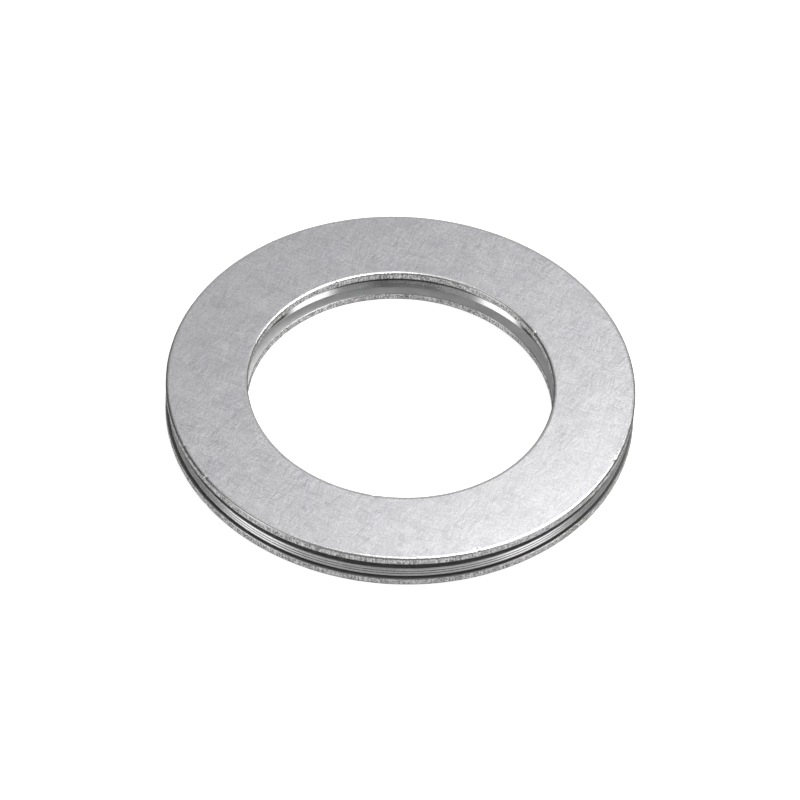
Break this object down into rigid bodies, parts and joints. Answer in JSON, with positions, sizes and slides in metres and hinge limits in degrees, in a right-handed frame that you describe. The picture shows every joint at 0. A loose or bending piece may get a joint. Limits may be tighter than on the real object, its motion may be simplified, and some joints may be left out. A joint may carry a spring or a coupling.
{
  "type": "needle roller thrust bearing",
  "caption": "Flat thrust bearing set: two stamped steel washers with a closed pressed-steel cage of radial rollers turning between them.",
  "frame": {"origin": "on the bearing axis, at the underside of the lower washer", "axes": "+Z along the bearing axis, from the lower washer to the upper washer; +X lies midway between the last and the first roller"},
  "size_m": [0.044, 0.044, 0.0036],
  "materials": {
    "washer_steel": "tumbled satin faces with stamped, sheared edges",
    "cage_sheet": "smooth polished pressed sheet",
    "roller_steel": "ground and polished"
  },
  "bodies": {
    "bottom_washer": {"bottom_washer": "washer_steel"},
    "top_washer": {"top_washer": "washer_steel"},
    "cage": {"cage_upper_shell": "cage_sheet", "cage_lower_shell": "cage_sheet"},
    "roller_01": {"roller_01": "roller_steel"},
    "roller_02": {"roller_02": "roller_steel"},
    "roller_03": {"roller_03": "roller_steel"},
    "roller_04": {"roller_04": "roller_steel"},
    "roller_05": {"roller_05": "roller_steel"},
    "roller_06": {"roller_06": "roller_steel"},
    "roller_07": {"roller_07": "roller_steel"},
    "roller_08": {"roller_08": "roller_steel"},
    "roller_09": {"roller_09": "roller_steel"},
    "roller_10": {"roller_10": "roller_steel"},
    "roller_11": {"roller_11": "roller_steel"},
    "roller_12": {"roller_12": "roller_steel"},
    "roller_13": {"roller_13": "roller_steel"},
    "roller_14": {"roller_14": "roller_steel"},
    "roller_15": {"roller_15": "roller_steel"},
    "roller_16": {"roller_16": "roller_steel"},
    "roller_17": {"roller_17": "roller_steel"},
    "roller_18": {"roller_18": "roller_steel"},
    "roller_19": {"roller_19": "roller_steel"},
    "roller_20": {"roller_20": "roller_steel"},
    "roller_21": {"roller_21": "roller_steel"},
    "roller_22": {"roller_22": "roller_steel"},
    "roller_23": {"roller_23": "roller_steel"},
    "roller_24": {"roller_24": "roller_steel"},
    "roller_25": {"roller_25": "roller_steel"},
    "roller_26": {"roller_26": "roller_steel"},
    "roller_27": {"roller_27": "roller_steel"},
    "roller_28": {"roller_28": "roller_steel"},
    "roller_29": {"roller_29": "roller_steel"},
    "roller_30": {"roller_30": "roller_steel"},
    "roller_31": {"roller_31": "roller_steel"},
    "roller_32": {"roller_32": "roller_steel"},
    "roller_33": {"roller_33": "roller_steel"},
    "roller_34": {"roller_34": "roller_steel"},
    "roller_35": {"roller_35": "roller_steel"},
    "roller_36": {"roller_36": "roller_steel"}
  },
  "joints": [
    {"name": "top_washer_spin", "type": "hinge", "parent": "bottom_washer", "child": "top_washer", "pos_m": [0, 0, 0.00181], "axis": [0, 0, 1], "continuous": true},
    {"name": "cage_spin", "type": "hinge", "parent": "bottom_washer", "child": "cage", "pos_m": [0, 0, 0.00181], "axis": [0, 0, 1], "continuous": true},
    {"name": "roller_01_spin", "type": "hinge", "parent": "cage", "child": "roller_01", "pos_m": [0.01827, 0.0016, 0.00181], "axis": [0.9962, 0.0872, 0], "continuous": true},
    {"name": "roller_02_spin", "type": "hinge", "parent": "cage", "child": "roller_02", "pos_m": [0.01772, 0.00475, 0.00181], "axis": [0.9659, 0.2588, 0], "continuous": true},
    {"name": "roller_03_spin", "type": "hinge", "parent": "cage", "child": "roller_03", "pos_m": [0.01662, 0.00775, 0.00181], "axis": [0.9063, 0.4226, 0], "continuous": true},
    {"name": "roller_04_spin", "type": "hinge", "parent": "cage", "child": "roller_04", "pos_m": [0.01503, 0.01052, 0.00181], "axis": [0.8192, 0.5736, 0], "continuous": true},
    {"name": "roller_05_spin", "type": "hinge", "parent": "cage", "child": "roller_05", "pos_m": [0.01297, 0.01297, 0.00181], "axis": [0.7071, 0.7071, 0], "continuous": true},
    {"name": "roller_06_spin", "type": "hinge", "parent": "cage", "child": "roller_06", "pos_m": [0.01052, 0.01503, 0.00181], "axis": [0.5736, 0.8192, 0], "continuous": true},
    {"name": "roller_07_spin", "type": "hinge", "parent": "cage", "child": "roller_07", "pos_m": [0.00775, 0.01662, 0.00181], "axis": [0.4226, 0.9063, 0], "continuous": true},
    {"name": "roller_08_spin", "type": "hinge", "parent": "cage", "child": "roller_08", "pos_m": [0.00475, 0.01772, 0.00181], "axis": [0.2588, 0.9659, 0], "continuous": true},
    {"name": "roller_09_spin", "type": "hinge", "parent": "cage", "child": "roller_09", "pos_m": [0.0016, 0.01827, 0.00181], "axis": [0.0872, 0.9962, 0], "continuous": true},
    {"name": "roller_10_spin", "type": "hinge", "parent": "cage", "child": "roller_10", "pos_m": [-0.0016, 0.01827, 0.00181], "axis": [-0.0872, 0.9962, 0], "continuous": true},
    {"name": "roller_11_spin", "type": "hinge", "parent": "cage", "child": "roller_11", "pos_m": [-0.00475, 0.01772, 0.00181], "axis": [-0.2588, 0.9659, 0], "continuous": true},
    {"name": "roller_12_spin", "type": "hinge", "parent": "cage", "child": "roller_12", "pos_m": [-0.00775, 0.01662, 0.00181], "axis": [-0.4226, 0.9063, 0], "continuous": true},
    {"name": "roller_13_spin", "type": "hinge", "parent": "cage", "child": "roller_13", "pos_m": [-0.01052, 0.01503, 0.00181], "axis": [-0.5736, 0.8192, 0], "continuous": true},
    {"name": "roller_14_spin", "type": "hinge", "parent": "cage", "child": "roller_14", "pos_m": [-0.01297, 0.01297, 0.00181], "axis": [-0.7071, 0.7071, 0], "continuous": true},
    {"name": "roller_15_spin", "type": "hinge", "parent": "cage", "child": "roller_15", "pos_m": [-0.01503, 0.01052, 0.00181], "axis": [-0.8192, 0.5736, 0], "continuous": true},
    {"name": "roller_16_spin", "type": "hinge", "parent": "cage", "child": "roller_16", "pos_m": [-0.01662, 0.00775, 0.00181], "axis": [-0.9063, 0.4226, 0], "continuous": true},
    {"name": "roller_17_spin", "type": "hinge", "parent": "cage", "child": "roller_17", "pos_m": [-0.01772, 0.00475, 0.00181], "axis": [-0.9659, 0.2588, 0], "continuous": true},
    {"name": "roller_18_spin", "type": "hinge", "parent": "cage", "child": "roller_18", "pos_m": [-0.01827, 0.0016, 0.00181], "axis": [-0.9962, 0.0872, 0], "continuous": true},
    {"name": "roller_19_spin", "type": "hinge", "parent": "cage", "child": "roller_19", "pos_m": [-0.01827, -0.0016, 0.00181], "axis": [-0.9962, -0.0872, 0], "continuous": true},
    {"name": "roller_20_spin", "type": "hinge", "parent": "cage", "child": "roller_20", "pos_m": [-0.01772, -0.00475, 0.00181], "axis": [-0.9659, -0.2588, 0], "continuous": true},
    {"name": "roller_21_spin", "type": "hinge", "parent": "cage", "child": "roller_21", "pos_m": [-0.01662, -0.00775, 0.00181], "axis": [-0.9063, -0.4226, 0], "continuous": true},
    {"name": "roller_22_spin", "type": "hinge", "parent": "cage", "child": "roller_22", "pos_m": [-0.01503, -0.01052, 0.00181], "axis": [-0.8192, -0.5736, 0], "continuous": true},
    {"name": "roller_23_spin", "type": "hinge", "parent": "cage", "child": "roller_23", "pos_m": [-0.01297, -0.01297, 0.00181], "axis": [-0.7071, -0.7071, 0], "continuous": true},
    {"name": "roller_24_spin", "type": "hinge", "parent": "cage", "child": "roller_24", "pos_m": [-0.01052, -0.01503, 0.00181], "axis": [-0.5736, -0.8192, 0], "continuous": true},
    {"name": "roller_25_spin", "type": "hinge", "parent": "cage", "child": "roller_25", "pos_m": [-0.00775, -0.01662, 0.00181], "axis": [-0.4226, -0.9063, 0], "continuous": true},
    {"name": "roller_26_spin", "type": "hinge", "parent": "cage", "child": "roller_26", "pos_m": [-0.00475, -0.01772, 0.00181], "axis": [-0.2588, -0.9659, 0], "continuous": true},
    {"name": "roller_27_spin", "type": "hinge", "parent": "cage", "child": "roller_27", "pos_m": [-0.0016, -0.01827, 0.00181], "axis": [-0.0872, -0.9962, 0], "continuous": true},
    {"name": "roller_28_spin", "type": "hinge", "parent": "cage", "child": "roller_28", "pos_m": [0.0016, -0.01827, 0.00181], "axis": [0.0872, -0.9962, 0], "continuous": true},
    {"name": "roller_29_spin", "type": "hinge", "parent": "cage", "child": "roller_29", "pos_m": [0.00475, -0.01772, 0.00181], "axis": [0.2588, -0.9659, 0], "continuous": true},
    {"name": "roller_30_spin", "type": "hinge", "parent": "cage", "child": "roller_30", "pos_m": [0.00775, -0.01662, 0.00181], "axis": [0.4226, -0.9063, 0], "continuous": true},
    {"name": "roller_31_spin", "type": "hinge", "parent": "cage", "child": "roller_31", "pos_m": [0.01052, -0.01503, 0.00181], "axis": [0.5736, -0.8192, 0], "continuous": true},
    {"name": "roller_32_spin", "type": "hinge", "parent": "cage", "child": "roller_32", "pos_m": [0.01297, -0.01297, 0.00181], "axis": [0.7071, -0.7071, 0], "continuous": true},
    {"name": "roller_33_spin", "type": "hinge", "parent": "cage", "child": "roller_33", "pos_m": [0.01503, -0.01052, 0.00181], "axis": [0.8192, -0.5736, 0], "continuous": true},
    {"name": "roller_34_spin", "type": "hinge", "parent": "cage", "child": "roller_34", "pos_m": [0.01662, -0.00775, 0.00181], "axis": [0.9063, -0.4226, 0], "continuous": true},
    {"name": "roller_35_spin", "type": "hinge", "parent": "cage", "child": "roller_35", "pos_m": [0.01772, -0.00475, 0.00181], "axis": [0.9659, -0.2588, 0], "continuous": true},
    {"name": "roller_36_spin", "type": "hinge", "parent": "cage", "child": "roller_36", "pos_m": [0.01827, -0.0016, 0.00181], "axis": [0.9962, -0.0872, 0], "continuous": true}
  ],
  "couplings": [
    {"joint": "cage_spin", "follows": "top_washer_spin", "ratio": 0.5},
    {"joint": "roller_01_spin", "follows": "top_washer_spin", "ratio": -9.2452},
    {"joint": "roller_02_spin", "follows": "top_washer_spin", "ratio": -9.2452},
    {"joint": "roller_03_spin", "follows": "top_washer_spin", "ratio": -9.2452},
    {"joint": "roller_04_spin", "follows": "top_washer_spin", "ratio": -9.2452},
    {"joint": "roller_05_spin", "follows": "top_washer_spin", "ratio": -9.2452},
    {"joint": "roller_06_spin", "follows": "top_washer_spin", "ratio": -9.2452},
    {"joint": "roller_07_spin", "follows": "top_washer_spin", "ratio": -9.2452},
    {"joint": "roller_08_spin", "follows": "top_washer_spin", "ratio": -9.2452},
    {"joint": "roller_09_spin", "follows": "top_washer_spin", "ratio": -9.2452},
    {"joint": "roller_10_spin", "follows": "top_washer_spin", "ratio": -9.2452},
    {"joint": "roller_11_spin", "follows": "top_washer_spin", "ratio": -9.2452},
    {"joint": "roller_12_spin", "follows": "top_washer_spin", "ratio": -9.2452},
    {"joint": "roller_13_spin", "follows": "top_washer_spin", "ratio": -9.2452},
    {"joint": "roller_14_spin", "follows": "top_washer_spin", "ratio": -9.2452},
    {"joint": "roller_15_spin", "follows": "top_washer_spin", "ratio": -9.2452},
    {"joint": "roller_16_spin", "follows": "top_washer_spin", "ratio": -9.2452},
    {"joint": "roller_17_spin", "follows": "top_washer_spin", "ratio": -9.2452},
    {"joint": "roller_18_spin", "follows": "top_washer_spin", "ratio": -9.2452},
    {"joint": "roller_19_spin", "follows": "top_washer_spin", "ratio": -9.2452},
    {"joint": "roller_20_spin", "follows": "top_washer_spin", "ratio": -9.2452},
    {"joint": "roller_21_spin", "follows": "top_washer_spin", "ratio": -9.2452},
    {"joint": "roller_22_spin", "follows": "top_washer_spin", "ratio": -9.2452},
    {"joint": "roller_23_spin", "follows": "top_washer_spin", "ratio": -9.2452},
    {"joint": "roller_24_spin", "follows": "top_washer_spin", "ratio": -9.2452},
    {"joint": "roller_25_spin", "follows": "top_washer_spin", "ratio": -9.2452},
    {"joint": "roller_26_spin", "follows": "top_washer_spin", "ratio": -9.2452},
    {"joint": "roller_27_spin", "follows": "top_washer_spin", "ratio": -9.2452},
    {"joint": "roller_28_spin", "follows": "top_washer_spin", "ratio": -9.2452},
    {"joint": "roller_29_spin", "follows": "top_washer_spin", "ratio": -9.2452},
    {"joint": "roller_30_spin", "follows": "top_washer_spin", "ratio": -9.2452},
    {"joint": "roller_31_spin", "follows": "top_washer_spin", "ratio": -9.2452},
    {"joint": "roller_32_spin", "follows": "top_washer_spin", "ratio": -9.2452},
    {"joint": "roller_33_spin", "follows": "top_washer_spin", "ratio": -9.2452},
    {"joint": "roller_34_spin", "follows": "top_washer_spin", "ratio": -9.2452},
    {"joint": "roller_35_spin", "follows": "top_washer_spin", "ratio": -9.2452},
    {"joint": "roller_36_spin", "follows": "top_washer_spin", "ratio": -9.2452}
  ]
}
